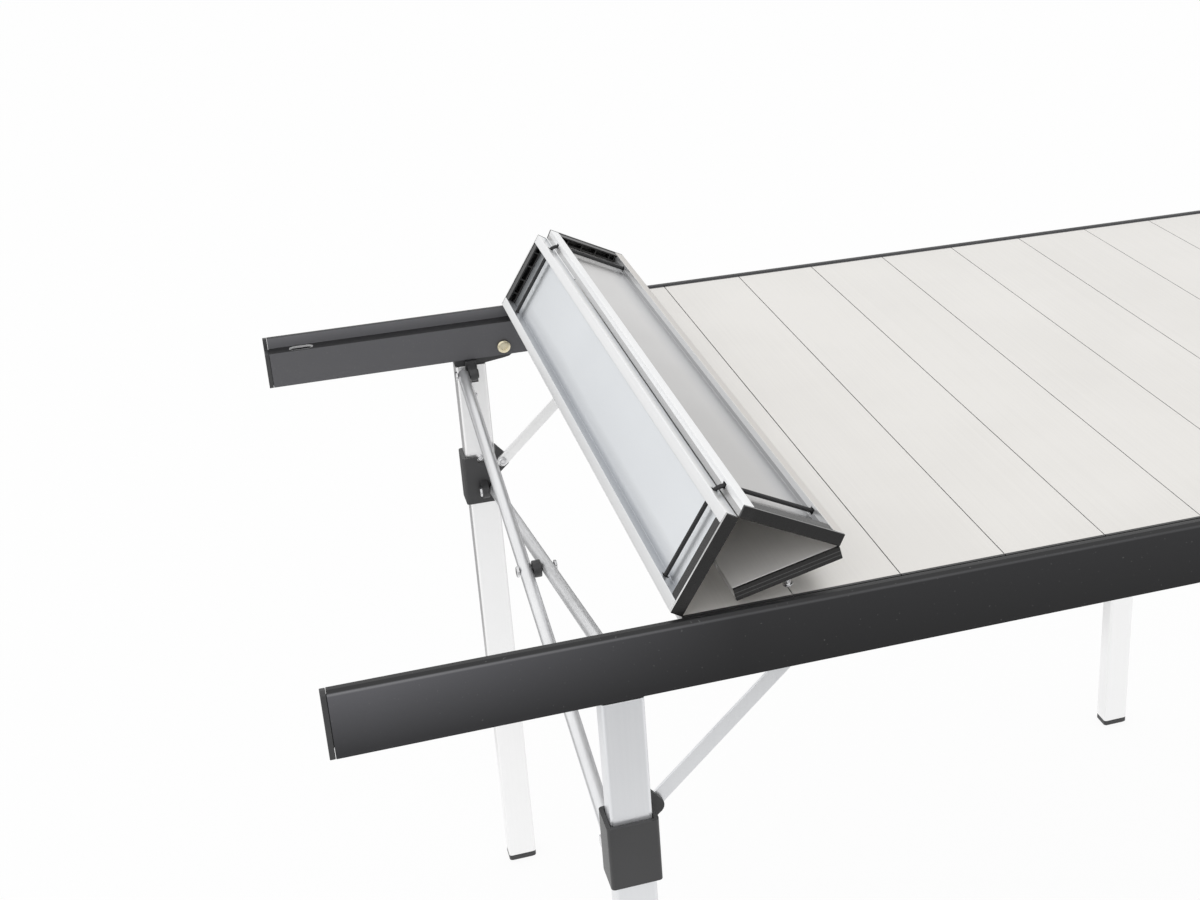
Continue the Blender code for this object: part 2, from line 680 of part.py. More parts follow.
def locating_pin(name, x, way):
    """A pin under an end slat that drops through the ledge's slot."""
    y = way * (SLAT_LENGTH / 2 - PIN_FROM_SLAT_END)
    top = SLAT_WALL + SEAT_GAP
    profile = [
        (top, PIN_BASE_RADIUS), (2 * top, PIN_BASE_RADIUS), (2 * top, PIN_RADIUS),
        (PIN_LENGTH - PIN_HEAD, PIN_RADIUS), (PIN_LENGTH - PIN_HEAD, PIN_HEAD_RADIUS),
        (PIN_LENGTH - PIN_HEAD / 2, PIN_HEAD_RADIUS), (PIN_LENGTH, PIN_RADIUS),
    ]
    body = revolve(name, profile, lambda u, v, drop: Vector((x + u, y + v, -drop)))
    silver_metal(body)
    return body


def first_slat_tilt():
    """How far slat 1 rises towards slat 2 when its free edge hangs just over slat 4."""
    height = SLAT_PITCH * (sin(THIRD_SLAT_TILT) + sin(SECOND_SLAT_TILT)) - ROLL_REST_GAP
    reach = hypot(SLAT_PITCH, SLAT_THICKNESS)
    return asin(height / reach) - atan2(SLAT_THICKNESS, SLAT_PITCH)


def roll_directions():
    """Where slats 3, 2 and 1 point in the roll, as angles above +X."""
    return [THIRD_SLAT_TILT, SECOND_SLAT_TILT, first_slat_tilt() - pi]


def build_roll(fourth):
    """Slats 3, 2 and 1, each hinged to the one before along the edge of its top."""
    start, stop = SLAT_JOINT_GAP / 2 - SLAT_PITCH, -SLAT_JOINT_GAP / 2
    place = Vector((ROLLED_SLATS * SLAT_PITCH - TABLE_LENGTH / 2, 0, SLAT_TOP))
    parent = fourth
    for number, direction in zip((3, 2, 1), roll_directions()):
        empty = axis_empty(f"slat_{number:02d}", parent, place, pi - direction)
        pieces = [bare_slat(f"slat_{number:02d}", start, stop)]
        for side, way in SIDES.items():
            has_pin = number == 1
            pieces.append(slat_cap(f"slat_{number:02d}_{side}_cap", start, stop, way, has_pin))
            if has_pin:
                pieces.append(locating_pin(f"left_{side}_locating_pin", PIN_INSET - SLAT_PITCH, way))
        for piece in pieces:
            piece.parent = empty
        place = place + SLAT_PITCH * Vector((cos(direction), 0, sin(direction)))
        parent = empty


def build_deck(root):
    """Slat 4 carries the roll on its left, and the flat slats hinge on to its right."""
    start, stop = SLAT_JOINT_GAP / 2, SLAT_PITCH - SLAT_JOINT_GAP / 2
    parent = root
    for number in range(ROLLED_SLATS + 1, SLAT_COUNT + 1):
        seam = Vector(((number - 1) * SLAT_PITCH - TABLE_LENGTH / 2, 0, SLAT_TOP))
        parent = axis_empty(f"slat_{number:02d}", parent, seam)
        capped_slat(f"slat_{number:02d}", start, stop).parent = parent
        if number == ROLLED_SLATS + 1:
            build_roll(parent)
    for side, way in SIDES.items():
        locating_pin(f"right_{side}_locating_pin", SLAT_PITCH - PIN_INSET, way).parent = parent


# The frame, put together in the order that its joints hang on each other

def build_rail(side, empty):
    hang(rail(side), empty)
    for end in ENDS:
        hang(rail_cap(side, end), empty)
        hang(hinge_bolt(side, end), empty)


def hinge_point(side, end):
    return leg_point(end, side, HINGE_OFFSETS[end], 0, HINGE_DROP)


def build_leg(side, end, parent, place):
    """A leg with its foot and head, on an axis at a place."""
    empty = axis_empty(f"{side}_{end}_leg", parent, place)
    for piece in (leg(side, end), foot(side, end), leg_head(side, end)):
        hang(piece, empty)
    return empty


def build_collar(side, end, parent):
    """A collar on the lower end of a rod, and the brace on the collar's ear."""
    inward = -ROD_PLANE if side == "near" else ROD_PLANE
    pivot = leg_point(end, side, inward, PIVOT_DEPTH, LOWER_PIVOT_DROP)
    empty = axis_empty(f"{side}_{end}_collar", parent, pivot)
    hang(collar(side, end), empty)
    ear = leg_point(end, side, EAR_OFFSET, BRACE_DEPTH, EAR_DROP)
    hang(brace(side, end), axis_empty(f"{side}_{end}_brace", empty, ear))


def build_scissor(end, near_leg):
    """Two crossed rods: the inner one hangs on the near head, the outer one on the crossing pin."""
    inner = axis_empty(end + "_inner_rod", near_leg, rod_ends(end, "near", ROD_PLANE)[0])
    hang(rod(end + "_inner_rod", end, "near", ROD_PLANE), inner)
    hang(scissor_pin(end), inner)
    outer = axis_empty(end + "_outer_rod", inner, sum(rod_ends(end, "near", 0), Vector()) / 2)
    hang(rod(end + "_outer_rod", end, "far", -ROD_PLANE), outer)
    build_collar("near", end, outer)
    build_collar("far", end, inner)
    return outer


def build_table():
    clear_scene()
    root = axis_empty("table", None, Vector((0, 0, 0)))
    build_rail("near", root)
    near_left = build_leg("near", "left", root, hinge_point("near", "left"))
    left_outer = build_scissor("left", near_left)
    far_pivot = leg_point("left", "far", -ROD_PLANE, PIVOT_DEPTH, UPPER_PIVOT_DROP)
    far_left = build_leg("far", "left", left_outer, far_pivot)
    far_rail = axis_empty("far_rail", far_left, hinge_point("far", "left"))
    build_rail("far", far_rail)
    build_leg("far", "right", far_rail, hinge_point("far", "right"))
    near_right = build_leg("near", "right", root, hinge_point("near", "right"))
    build_scissor("right", near_right)
    build_deck(root)


build_table()
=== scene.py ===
"""A roll-top camping table, dressed over its CAD frame: metal, plastic, cords and fasteners."""

import math

import bpy
from mathutils import Matrix, Vector


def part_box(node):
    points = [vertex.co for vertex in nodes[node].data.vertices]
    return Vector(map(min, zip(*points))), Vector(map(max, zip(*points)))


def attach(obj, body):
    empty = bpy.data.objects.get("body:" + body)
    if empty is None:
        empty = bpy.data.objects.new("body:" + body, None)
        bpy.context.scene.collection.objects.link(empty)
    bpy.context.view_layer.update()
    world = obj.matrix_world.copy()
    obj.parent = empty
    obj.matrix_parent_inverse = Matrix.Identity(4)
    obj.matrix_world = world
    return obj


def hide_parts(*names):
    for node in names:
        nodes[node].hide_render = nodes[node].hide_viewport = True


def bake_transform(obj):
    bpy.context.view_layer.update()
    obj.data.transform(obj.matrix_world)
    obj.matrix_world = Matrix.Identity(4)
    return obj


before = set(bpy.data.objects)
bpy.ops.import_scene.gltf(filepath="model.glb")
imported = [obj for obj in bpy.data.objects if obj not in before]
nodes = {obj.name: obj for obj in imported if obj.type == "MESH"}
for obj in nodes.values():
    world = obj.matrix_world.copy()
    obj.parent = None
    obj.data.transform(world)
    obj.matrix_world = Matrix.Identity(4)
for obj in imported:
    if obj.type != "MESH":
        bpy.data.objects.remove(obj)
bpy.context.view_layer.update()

# The studio. A white floor sheet, greyer beyond its edges in what metal mirrors and clear from below,
# a white surround, and two wide soft lamps, above the left end and in front, as for a catalogue picture.
scene = bpy.context.scene
scene.view_settings.view_transform = "Standard"


class Signal:
    """A socket in a finish, so that sums on it can be written as sums."""

    def __init__(self, finish, socket):
        self.finish = finish
        self.socket = socket

    def math(self, operation, first, second=0.0):
        return self.finish.node("ShaderNodeMath", {"operation": operation}, {0: first, 1: second})

    def __add__(self, other):
        return self.math("ADD", self, other)

    def __radd__(self, other):
        return self.math("ADD", other, self)

    def __sub__(self, other):
        return self.math("SUBTRACT", self, other)

    def __rsub__(self, other):
        return self.math("SUBTRACT", other, self)

    def __mul__(self, other):
        return self.math("MULTIPLY", self, other)

    def __rmul__(self, other):
        return self.math("MULTIPLY", other, self)

    def __gt__(self, other):
        return self.math("GREATER_THAN", self, other)

    def __lt__(self, other):
        return self.math("LESS_THAN", self, other)

    def __abs__(self):
        return self.math("ABSOLUTE", self)


class Finish:
    """A material whose nodes are made one at a time and fed into its shader."""

    def __init__(self, name):
        self.material = bpy.data.materials.new(name)
        self.material.use_nodes = True
        self.tree = self.material.node_tree
        self.shader = self.tree.nodes["Principled BSDF"]

    def node(self, kind, settings=None, inputs=None, output=0):
        made = self.tree.nodes.new(kind)
        for key, value in (settings or {}).items():
            setattr(made, key, value)
        for key, value in (inputs or {}).items():
            self.feed(made.inputs[key], value)
        return Signal(self, made.outputs[output])

    def feed(self, socket, value):
        if isinstance(value, Signal):
            self.tree.links.new(value.socket, socket)
        else:
            socket.default_value = value

    def along(self, coordinate, way):
        """How far a coordinate, or a normal, reaches in a direction."""
        spot = self.node("ShaderNodeTexCoord", output=coordinate)
        return self.node("ShaderNodeVectorMath", {"operation": "DOT_PRODUCT"}, {0: spot, 1: way}, "Value")

    def noise(self, scale, detail=3.0, stretch=(1, 1, 1)):
        """Grain on Object coordinates, drawn out where stretch is small."""
        spot = self.node("ShaderNodeTexCoord", output="Object")
        spot = self.node("ShaderNodeMapping", {}, {"Vector": spot, "Scale": stretch})
        return self.node("ShaderNodeTexNoise", {}, {"Vector": spot, "Scale": scale, "Detail": detail})

    def range(self, value, low, high, to_low=0.0, to_high=1.0):
        return self.node("ShaderNodeMapRange", {}, {
            0: value, 1: low, 2: high, 3: to_low, 4: to_high})

    def blend(self, factor, first, second):
        """One colour into another."""
        return self.node("ShaderNodeMix", {"data_type": "RGBA"}, {
            0: factor, 6: first, 7: second}, 2)

    def bump(self, height, strength, distance):
        return self.node("ShaderNodeBump", {}, {
            "Height": height, "Strength": strength, "Distance": distance})

    def shade(self, **sockets):
        for key, value in sockets.items():
            self.feed(self.shader.inputs[key.replace("_", " ").title()], value)
        return self.material


def tone(red, green=None, blue=None):
    """A colour, or a grey from one value."""
    return (red, red if green is None else green, red if blue is None else blue, 1)


FLOOR_SIZE = 30
FLOOR_LEVEL = -0.0005
WHITE_SHARE = 0.93
bpy.ops.mesh.primitive_plane_add(size=FLOOR_SIZE, location=(0, 0, FLOOR_LEVEL))
floor = bpy.context.object
floor.name = "floor"
pale = Finish("white_floor")
pale.shade(base_color=tone(0.86), roughness=0.9)
across = pale.along("Object", (0, 1, 0))
beyond = pale.range(across, 0.5, 0.9, 0.0, 0.75) + pale.range(across, -0.9, -1.4, 0.0, 0.5)
seen, mirrored, seen_through = [
    pale.node("ShaderNodeLightPath", output=ray)
    for ray in ("Is Camera Ray", "Is Glossy Ray", "Is Transmission Ray")]
white = pale.node("ShaderNodeEmission", {}, {
    "Color": pale.blend(beyond * mirrored, tone(1.0), tone(0.0)), "Strength": 1.0})
sheet = pale.node("ShaderNodeMixShader", {}, {
    0: (seen + mirrored + seen_through) * WHITE_SHARE, 1: Signal(pale, pale.shader.outputs[0]), 2: white})
from_below = pale.node("ShaderNodeNewGeometry", output="Backfacing")
clear = pale.node("ShaderNodeBsdfTransparent")
sheet = pale.node("ShaderNodeMixShader", {}, {0: from_below, 1: sheet, 2: clear})
pale.feed(pale.tree.nodes["Material Output"].inputs[0], sheet)
floor.data.materials.append(pale.material)

scene.world = bpy.data.worlds.new("studio")
scene.world.use_nodes = True
scene.world.node_tree.nodes["Background"].inputs[0].default_value = tone(1.0)


def lamp(name, place, target, size, power):
    """A square soft lamp that faces its target."""
    bpy.ops.object.light_add(type="AREA", location=place)
    light = bpy.context.object
    light.name = name
    light.data.shape = "SQUARE"
    light.data.size = size
    light.data.energy = power
    light.rotation_euler = (Vector(target) - Vector(place)).to_track_quat("-Z", "Y").to_euler()


lamp("left_lamp", (-2.6, -0.8, 2.6), (-0.3, 0.0, 0.65), 3.2, 9)
lamp("front_lamp", (0.2, -3.4, 1.6), (-0.2, 0.0, 0.70), 3.0, 5)

bpy.ops.object.camera_add(
    location=(-0.59364, -1.37566, 1.33127),
    rotation=[math.radians(angle) for angle in (66.2915, 1.5845, -18.4150)])
camera = bpy.context.object
camera.data.sensor_width = 36
camera.data.lens = 51.591
camera.data.shift_x = -0.14673
camera.data.shift_y = -0.03949
camera.data.clip_end = 60
scene.camera = camera

# The rails: black anodised aluminium, drawn through a die, so faint streaks run along them.
# Towards the left end they carry painted light, a lighter tone. Their end caps are moulded in black
# plastic with a fine grain.
# SIDES says which way each side faces along Y, and ENDS which way is inwards along X.
SIDES = {"near": -1, "far": 1}
ENDS = {"left": 1, "right": -1}
LEDGE = 0.6887
RAIL_EDGE = 0.6970


def dress(node, finish, edge=0.0005):
    """Give a CAD node its finish, and break its sharp edges a little."""
    part = nodes[node]
    part.data.materials.clear()
    part.data.materials.append(finish.material)
    weld = part.modifiers.new("one_skin", "WELD")
    weld.merge_threshold = 0.00001
    bevel = part.modifiers.new("broken_edges", "BEVEL")
    bevel.width = edge
    bevel.segments = 2
    bevel.limit_method = "ANGLE"
    bevel.angle_limit = math.radians(35)
    part.modifiers.new("even_shading", "WEIGHTED_NORMAL")


def rail_finish(side, outward):
    """Black outside and on top, with painted light: a greyer painted sheen on the inner faces, the outer
    faces painted lighter towards the top and the left end, and a painted highlight along the upper edge.
    """
    finish = Finish(side + "_black_rail")
    die_lines = finish.noise(260, 2, (0.008, 1, 1))
    handling = finish.noise(7, 4)
    specks = finish.noise(420, 1) > 0.735
    height = finish.along("Object", (0, 0, 1))
    # Painted light: the rails are painted lighter towards the left end.
    painted_light_left = finish.range(finish.along("Object", (1, 0, 0)), -0.30, -0.56)
    # Painted reflection: the outer faces are painted lighter towards the top and darker towards the
    # bottom.
    outer = finish.blend(
        finish.range(height, 0.65, 0.70),
        finish.blend(painted_light_left, tone(0.009, 0.009, 0.010), tone(0.027, 0.027, 0.030)),
        finish.blend(painted_light_left, tone(0.022, 0.022, 0.024), tone(0.115, 0.115, 0.126)))
    inner = finish.along("Normal", (0, -outward, 0)) > 0.9
    level = finish.along("Normal", (0, 0, 1)) > 0.9
    # Painted sheen: the inner faces are painted a greyer black, lighter on the wall above the ledge.
    painted_inner_sheen = finish.blend(height > LEDGE + 0.0003, tone(0.105, 0.105, 0.112), tone(0.165, 0.165, 0.175))
    colour = finish.blend(inner, outer, painted_inner_sheen)
    brow = (height > RAIL_EDGE + 0.0006) * (1 - inner)
    colour = finish.blend(level + brow, colour, tone(0.020, 0.020, 0.021))
    # Painted highlight: a ragged lighter line along the outer upper edge, where the edge catches the
    # light.
    outside = finish.along("Normal", (0, outward, 0)) > 0.3
    edge = finish.range(abs(height - RAIL_EDGE), 0.0013, 0.0003) * outside
    painted_highlight = finish.blend(painted_light_left, tone(0.072, 0.072, 0.076), tone(0.20, 0.20, 0.21))
    colour = finish.blend(edge * finish.range(handling, 0.2, 0.6, 0.5, 1.0), colour, painted_highlight)
    finish.shade(
        base_color=finish.blend(specks * 0.35, colour, tone(0.16)),
        roughness=finish.range(handling + 0.2 * die_lines, 0.4, 0.8, 0.36, 0.46), metallic=0.25,
        normal=finish.bump(die_lines, 0.02, 0.0002))
    return finish


black_plastic = Finish("black_plastic")
mould_grain = black_plastic.noise(1100, 2)
black_plastic.shade(
    base_color=black_plastic.blend(black_plastic.noise(16, 3), tone(0.034, 0.034, 0.035),
                                   tone(0.052, 0.052, 0.054)),
    roughness=black_plastic.range(mould_grain, 0.3, 0.7, 0.34, 0.46),
    normal=black_plastic.bump(mould_grain, 0.06, 0.0002))
for side, outward in SIDES.items():
    dress(side + "_rail", rail_finish(side, outward), 0.0004)
    for end in ENDS:
        dress(f"{side}_rail_{end}_cap", black_plastic, 0.0006)

# The pin slots in the rails' ledges are milled after the black finish, so their walls are bare
# metal: a thin bright sleeve lines each slot, level with the ledge.
SLOT_X = 0.5557
SLOT_Y = 0.3355
SLOT_RADIUS = 0.0054
SLOT_STRETCH = 0.0065
SLEEVE_DEPTH = 0.0021
SLEEVE_WALL = 0.0003
bright_steel = Finish("bright_steel")
swirl = bright_steel.noise(700, 2)
bright_steel.shade(base_color=tone(0.72, 0.72, 0.73), metallic=1.0,
                   roughness=bright_steel.range(swirl, 0.3, 0.7, 0.16, 0.28))
milled_edge = Finish("milled_aluminium_edge")
cutter_marks = milled_edge.noise(900, 2)
milled_edge.shade(base_color=milled_edge.blend(cutter_marks, tone(0.66), tone(0.86)), metallic=0.35,
                  roughness=milled_edge.range(cutter_marks, 0.3, 0.7, 0.4, 0.55))


def take(name, finish):
    """Name the piece that was just made, and put its finish on it."""
    piece = bpy.context.object
    piece.name = name
    piece.data.name = name
    piece.data.materials.clear()
    piece.data.materials.append(finish.material)
    return piece


def face_up():
    """In edit mode: all faces outwards, then back to object mode."""
    bpy.ops.mesh.select_all(action="SELECT")
    bpy.ops.mesh.normals_make_consistent(inside=False)
    bpy.ops.object.mode_set(mode="OBJECT")


for side, outward in SIDES.items():
    for end, inward in ENDS.items():
        bpy.ops.object.select_all(action="DESELECT")
        bpy.ops.mesh.primitive_circle_add(vertices=32, radius=SLOT_RADIUS)
        ring = bpy.context.object.data
        for vertex in ring.vertices:
            vertex.co.x += math.copysign(SLOT_STRETCH, vertex.co.x) if abs(vertex.co.x) > 0.0001 else 0
        bpy.ops.object.mode_set(mode="EDIT")
        bpy.ops.mesh.select_all(action="SELECT")
        bpy.ops.mesh.extrude_region_move(TRANSFORM_OT_translate={"value": (0, 0, -SLEEVE_DEPTH)})
        face_up()
        sleeve = take(f"{side}_rail_{end}_slot_sleeve", milled_edge)
        sleeve.data.transform(Matrix.Translation((-inward * SLOT_X, outward * SLOT_Y, LEDGE - 0.00005)))
        wall = sleeve.modifiers.new("metal", "SOLIDIFY")
        wall.thickness = SLEEVE_WALL
        bpy.ops.object.modifier_apply(modifier="metal")
        bpy.ops.object.shade_smooth_by_angle(angle=math.radians(40))
        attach(sleeve, side + "_rail")

# The hinge bolts: steel with a yellow plating and a hexagon socket, one through the inner wall
# of the rail beside each leg's head.
yellow_plated = Finish("yellow_plated_steel")
tarnish = yellow_plated.noise(180, 3)
yellow_plated.shade(
    base_color=yellow_plated.blend(tarnish, tone(0.74, 0.64, 0.42), tone(0.90, 0.84, 0.66)),
    roughness=yellow_plated.range(tarnish, 0.3, 0.7, 0.2, 0.34), metallic=1.0)


def turned(name, steps, foot, way, finish, sides=32):
    """Turn a piece on a lathe: a disc drawn out and resized, from foot along way."""
    bpy.ops.object.select_all(action="DESELECT")
    first, radius = steps[0]
    bpy.ops.mesh.primitive_circle_add(vertices=sides, radius=radius, fill_type="NGON")
    bpy.ops.object.mode_set(mode="EDIT")
    bpy.ops.mesh.select_all(action="SELECT")
    bpy.ops.transform.translate(value=(0, 0, first))
    height = first
    for along, wide in steps[1:]:
        bpy.ops.mesh.extrude_region_move(TRANSFORM_OT_translate={"value": (0, 0, along - height)})
        factor = wide / radius
        bpy.ops.transform.resize(value=(factor, factor, 1), center_override=(0, 0, along))
        height, radius = along, wide
    face_up()
    piece = take(name, finish)
    turn = Vector(way).to_track_quat("Z", "Y").to_matrix().to_4x4()
    piece.data.transform(Matrix.Translation(foot) @ turn)
    bpy.ops.object.shade_smooth_by_angle(angle=math.radians(32))
    return piece


def middle(node):
    """The middle of a node's box."""
    low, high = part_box(node)
    return (Vector(low) + Vector(high)) / 2


BOLT_STEPS = ((0.0, 0.0066), (0.0006, 0.0068), (0.0011, 0.0062), (0.0014, 0.0046), (0.00145, 0.0036),
              (0.0007, 0.0034))
for side, outward in SIDES.items():
    for end in ENDS:
        node = f"{side}_{end}_hinge_bolt"
        low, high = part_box(node)
        face = max(low[1], high[1]) if side == "near" else min(low[1], high[1])
        dress(node, yellow_plated, 0.0003)
        head = turned(f"{side}_{end}_bolt_head", BOLT_STEPS,
                      (middle(node).x, face + outward * 0.0004, middle(node).z), (0, -outward, 0),
                      yellow_plated)
        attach(head, side + "_rail")

# The legs and braces: silver anodised aluminium with fine lines along their length, and painted light
# that makes the far side lighter than the near side. The heads, collars and feet are black mouldings on
# the legs.
silver_leg = Finish("silver_anodised_leg")
leg_lines = silver_leg.noise(420, 2, (1, 1, 0.006))
leg_clouds = silver_leg.noise(9, 3)
leg_tint = silver_leg.range(leg_lines * 0.4 + leg_clouds * 0.6, 0.38, 0.62)
# Painted light: the far legs and braces are painted lighter, the near ones darker.
painted_light_far = silver_leg.range(silver_leg.along("Object", (0, 1, 0)), -0.25, 0.25)
shaded_near_silver = silver_leg.blend(leg_tint, tone(0.80, 0.81, 0.83), tone(0.84, 0.85, 0.865))
lit_far_silver = silver_leg.blend(leg_tint, tone(0.96), tone(0.98))
silver_leg.shade(
    base_color=silver_leg.blend(painted_light_far, shaded_near_silver, lit_far_silver),
    roughness=silver_leg.range(leg_lines, 0.3, 0.7, 0.28, 0.34), metallic=0.8,
    normal=silver_leg.bump(leg_lines, 0.02, 0.0002))
for side in SIDES:
    for end in ENDS:
        dress(f"{side}_{end}_leg", silver_leg, 0.0008)
        dress(f"{side}_{end}_brace", silver_leg, 0.0003)
        for piece in ("foot", "leg_head", "collar"):
            dress(f"{side}_{end}_{piece}", black_plastic, 0.0005)

# The fasteners on the legs: a small domed rivet below the head, a pan-head screw in the notch of
# the collar as its stop, a screw through the ear and brace, and a screw where the brace hooks on.
DOME_STEPS = ((0.0, 0.0031), (0.0005, 0.0031), (0.0011, 0.0026), (0.0015, 0.0016), (0.0016, 0.0005))
SCREW_STEPS = ((0.0, 0.0047), (0.0019, 0.0047), (0.0026, 0.0039), (0.0028, 0.0024), (0.0017, 0.0020))
STOP_STEPS = ((0.0, 0.0034), (0.0012, 0.0034), (0.0018, 0.0027), (0.0019, 0.0015), (0.0012, 0.0012))
LEG_FACE = 0.3271
BRACE_FACE = 0.32015
RIVET_HEIGHT = 0.611
STOP_HEIGHT = 0.5375
EAR_REACH = 0.0225
EAR_HEIGHT = 0.532
HOOK_REACH = 0.1635
HOOK_HEIGHT = 0.662
for side, outward in SIDES.items():
    for end, inward in ENDS.items():
        corner = f"{side}_{end}"
        leg_x = middle(corner + "_leg").x
        for label, steps, body, x, y, z in (
                ("leg_rivet", DOME_STEPS, corner + "_leg", 0.001, LEG_FACE, RIVET_HEIGHT),
                ("stop_screw", STOP_STEPS, corner + "_leg", 0.0, LEG_FACE, STOP_HEIGHT),
                ("ear_screw", SCREW_STEPS, corner + "_collar", EAR_REACH, BRACE_FACE, EAR_HEIGHT),
                ("hook_screw", SCREW_STEPS, side + "_rail", HOOK_REACH, BRACE_FACE, HOOK_HEIGHT)):
            screw = turned(f"{corner}_{label}", steps, (leg_x + inward * x, outward * y, z),
                           (0, -outward, 0), bright_steel)
            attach(screw, body)

# The crossed rods: round aluminium tube with domed ends, drilled across for the pivot pins.
# Each is one drawn piece, running from a leg's head to the collar on the opposite leg.
silver_rod = Finish("silver_anodised_rod")
rod_clouds = silver_rod.noise(14, 3)
rod_tint = silver_rod.range(rod_clouds, 0.35, 0.65)
silver_rod.shade(
    base_color=silver_rod.blend(rod_tint, tone(0.81, 0.815, 0.825), tone(0.87, 0.875, 0.885)),
    roughness=silver_rod.range(rod_clouds, 0.3, 0.7, 0.32, 0.38), metallic=0.8)
ROD_RADIUS = 0.006
ROD_END = 0.0005
TIP_STEPS = [(-ROD_END - ROD_RADIUS * math.sin(angle), ROD_RADIUS * math.cos(angle))
             for angle in map(math.radians, (84, 72, 60, 48, 36, 24, 12, 0))]
PIVOT_Y = 0.315
UPPER_PIVOT = 0.640
LOWER_PIVOT = 0.502
CROSSING = (UPPER_PIVOT + LOWER_PIVOT) / 2
ROD_PLANE = 0.010
for end, inward in ENDS.items():
    leg_x = middle(f"near_{end}_leg").x
    for rod, plane, near_pivot, far_pivot in (
            ("inner", inward, UPPER_PIVOT, LOWER_PIVOT), ("outer", -inward, LOWER_PIVOT, UPPER_PIVOT)):
        node = f"{end}_{rod}_rod"
        start = Vector((leg_x + plane * ROD_PLANE, -PIVOT_Y, near_pivot))
        stop = Vector((leg_x + plane * ROD_PLANE, PIVOT_Y, far_pivot))
        reach = (stop - start).length
        steps = TIP_STEPS + [(reach - along, radius) for along, radius in reversed(TIP_STEPS)]
        tube = turned(f"{end}_{rod}_tube", steps, start, stop - start, silver_rod, 40)
        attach(tube, node)
        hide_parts(node)

# The pivot pins: bright rivets with domed heads, over the rods' ends, behind the collars' lugs and
# at both ends of the longer pin, with a black spacer, where the two rods cross.
PIN_STEPS = ((0.0, 0.00512), (0.0018, 0.00512), (0.0023, 0.0046), (0.0026, 0.0028), (0.0026, 0.0008))
ROD_FACE = 0.01625
LUG_FACE = 0.00365
for end, inward in ENDS.items():
    leg_x = middle(f"near_{end}_leg").x
    dress(end + "_scissor_pin", black_plastic, 0.0003)
    for way in (1, -1):
        dome = turned(f"{end}_crossing_dome_{'in' if way == inward else 'out'}", PIN_STEPS,
                      (leg_x + way * ROD_FACE, 0, CROSSING), (way, 0, 0), bright_steel)
        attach(dome, end + "_inner_rod")
    for side, outward in SIDES.items():
        for place, height, rod_way in (("leg", UPPER_PIVOT, -outward), ("collar", LOWER_PIVOT, outward)):
            domes = [("rod_dome", rod_way, ROD_FACE)]
            if place == "collar":
                domes.append(("lug_dome", -rod_way, LUG_FACE))
            for label, way, offset in domes:
                dome = turned(f"{side}_{end}_{place}_{label}", PIN_STEPS,
                              (leg_x + inward * way * offset, outward * PIVOT_Y, height),
                              (inward * way, 0, 0), bright_steel)
                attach(dome, f"{side}_{end}_{place}")

# The deck slats: extruded aluminium with a fine satin on top in a warm light grey, plain mill
# metal below, and a black moulded cap over the last few millimetres of each end.
# Three are rolled up: ROLLED has the place of each one's right edge, and how far it is turned.
SLATS = 14
SLAT_PITCH = 0.0846
DECK_HALF = 0.5922
DECK_TOP = 0.699
CAP_START = 0.338
WEB_DEPTH = 0.005
FLANGE_WALL = 0.004
FLANGE_FOOT = 0.012
ROLLED = {
    3: ((-0.3384, 0.699), 57.5),
    2: ((-0.292944, 0.770351), -26.6),
    1: ((-0.217299, 0.73247), -167.0)}
FLAT_TURN = 180


def slat_frame(number):
    """A slat's right edge on its top face, the way from there to its left edge, and its top's normal."""
    edge, angle = ROLLED.get(number, ((number * SLAT_PITCH - DECK_HALF, DECK_TOP), FLAT_TURN))
    angle = math.radians(angle)
    along = Vector((math.cos(angle), 0, math.sin(angle)))
    return Vector((edge[0], 0, edge[1])), along, Vector((along.z, 0, -along.x))


# The mill metal below a slat: its tone, set lighter or darker per slat as painted light and shade, its
# blue cast, and how far and how thickly painted shade reaches in from the lower flange.
MILL_METAL = {3: (0.86, 0.026, 0.032, 0.85), 2: (0.56, -0.006, 0.038, 0.45)}
PLAIN_MILL_METAL = (0.72, -0.006, 0.042, 0.2)


